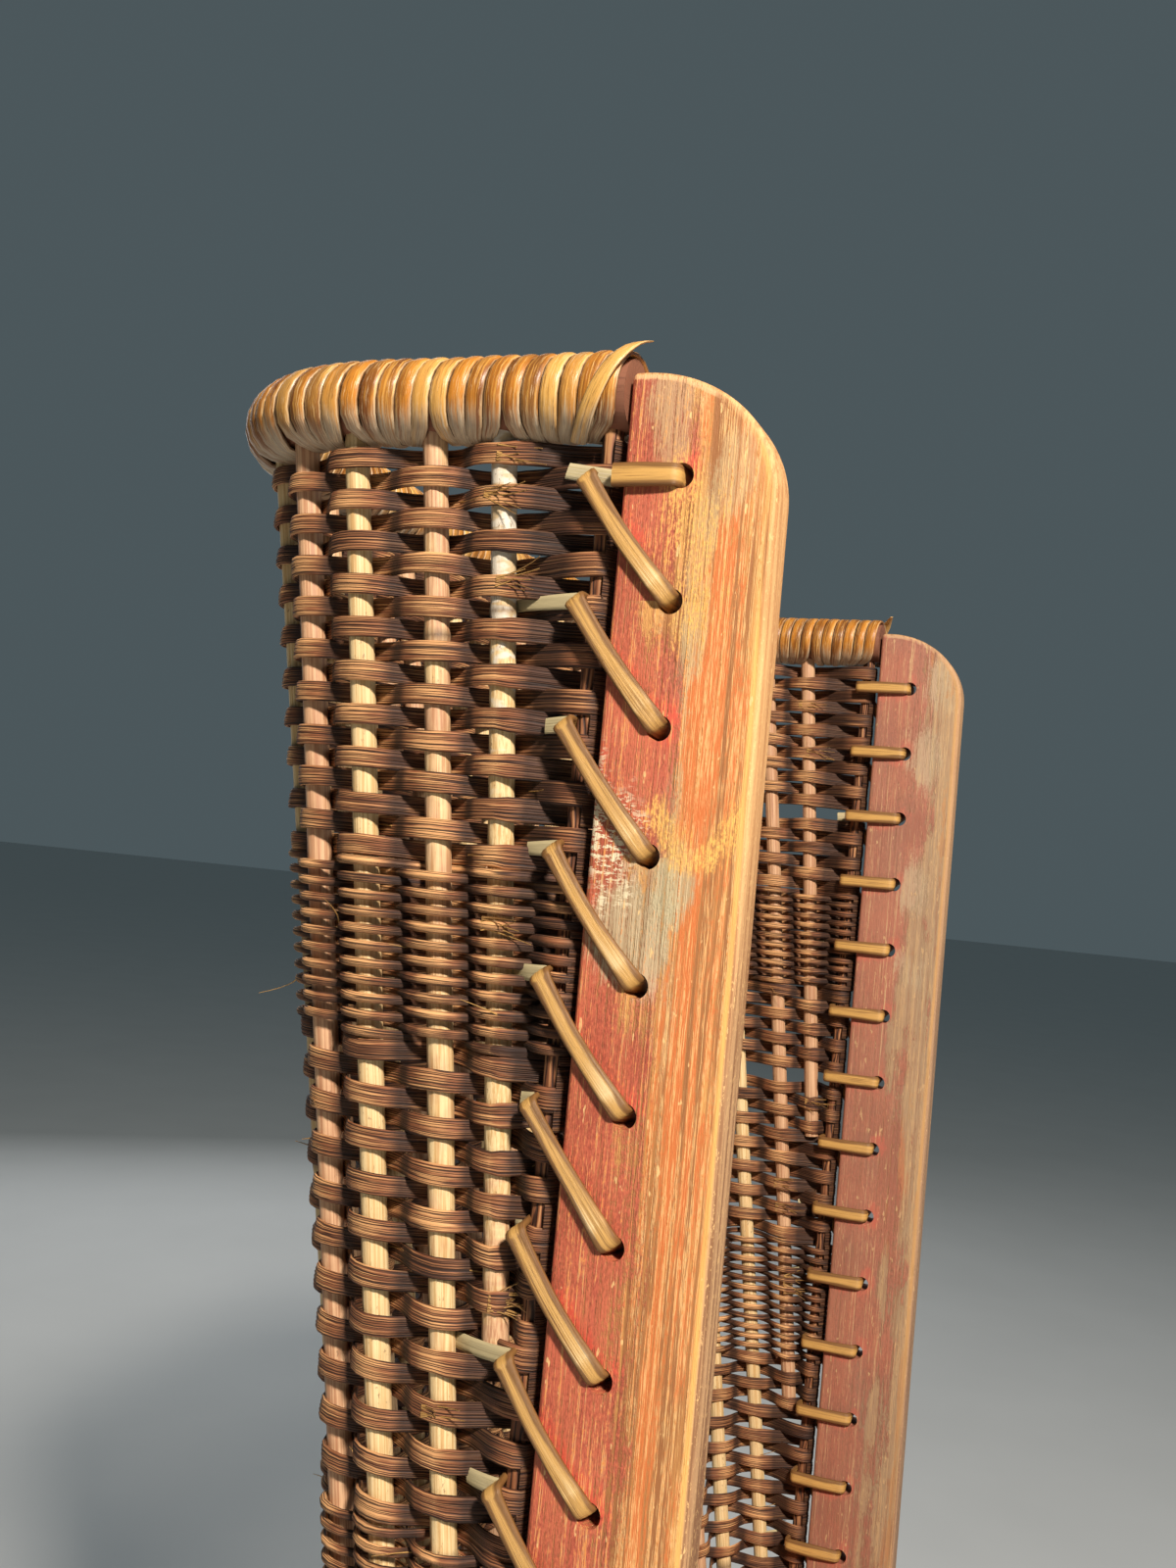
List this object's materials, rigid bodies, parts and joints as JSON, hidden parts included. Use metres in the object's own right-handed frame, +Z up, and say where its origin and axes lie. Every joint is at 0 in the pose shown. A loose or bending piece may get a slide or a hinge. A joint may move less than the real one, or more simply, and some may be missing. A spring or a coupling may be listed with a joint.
{
  "type": "woven chair",
  "caption": "High-backed chair with a woven wicker back laced to upright pine side boards, a cane-bound rim and a woven seat on a plain pine frame.",
  "frame": {"origin": "on the floor, under the middle of the bounding box", "axes": "+Z up from the floor to the rim, -Y the way the sitter faces, +X the chair's side"},
  "size_m": [0.5116, 0.5923, 1.0601],
  "materials": {
    "red_pine": "worn brick-red wash over pine",
    "stake_cane": "bare aged willow or cane, satin",
    "flat_weft": "dry brown split cane, matt",
    "fine_weft": "dry brown round cane, matt",
    "seat_weft": "dry brown split cane, matt",
    "seat_rod": "bare aged willow or cane, satin",
    "rim_wood": "bare brown wood",
    "binding_cane": "amber varnished cane, worn paler below",
    "lacing_cane": "bare tan split cane"
  },
  "bodies": {
    "root": {"back_base_board": "red_pine", "back_seat_rail": "red_pine", "back_stake_01": "stake_cane", "back_stake_02": "stake_cane", "back_stake_03": "stake_cane", "back_stake_04": "stake_cane", "back_stake_05": "stake_cane", "back_stake_06": "stake_cane", "back_stake_07": "stake_cane", "back_stake_08": "stake_cane", "back_stake_09": "stake_cane", "back_stake_10": "stake_cane", "back_stake_11": "stake_cane", "back_stake_12": "stake_cane", "back_stake_13": "stake_cane", "back_stake_14": "stake_cane", "back_stake_15": "stake_cane", "back_stake_16": "stake_cane", "back_stake_17": "stake_cane", "back_stake_18": "stake_cane", "back_stake_19": "stake_cane", "back_stake_20": "stake_cane", "back_stake_21": "stake_cane", "front_seat_rail": "red_pine", "left_edge_stake": "stake_cane", "left_front_leg": "red_pine", "left_lacing": "lacing_cane", "left_seat_rail": "red_pine", "left_side_board": "red_pine", "left_stretcher": "red_pine", "left_wing_stake_1": "stake_cane", "left_wing_stake_2": "stake_cane", "lower_fine_band": "fine_weft", "lower_weaving": "flat_weft", "middle_stretcher": "red_pine", "middle_weaving": "flat_weft", "right_edge_stake": "stake_cane", "right_front_leg": "red_pine", "right_lacing": "lacing_cane", "right_seat_rail": "red_pine", "right_side_board": "red_pine", "right_stretcher": "red_pine", "right_wing_stake_1": "stake_cane", "right_wing_stake_2": "stake_cane", "rim_binding_back": "binding_cane", "rim_binding_left": "binding_cane", "rim_binding_right": "binding_cane", "rim_core": "rim_wood", "seat_rod_01": "seat_rod", "seat_rod_02": "seat_rod", "seat_rod_03": "seat_rod", "seat_rod_04": "seat_rod", "seat_rod_05": "seat_rod", "seat_rod_06": "seat_rod", "seat_rod_07": "seat_rod", "seat_rod_08": "seat_rod", "seat_rod_09": "seat_rod", "seat_weaving": "seat_weft", "upper_fine_band": "fine_weft", "upper_weaving": "flat_weft"}
  },
  "joints": []
}
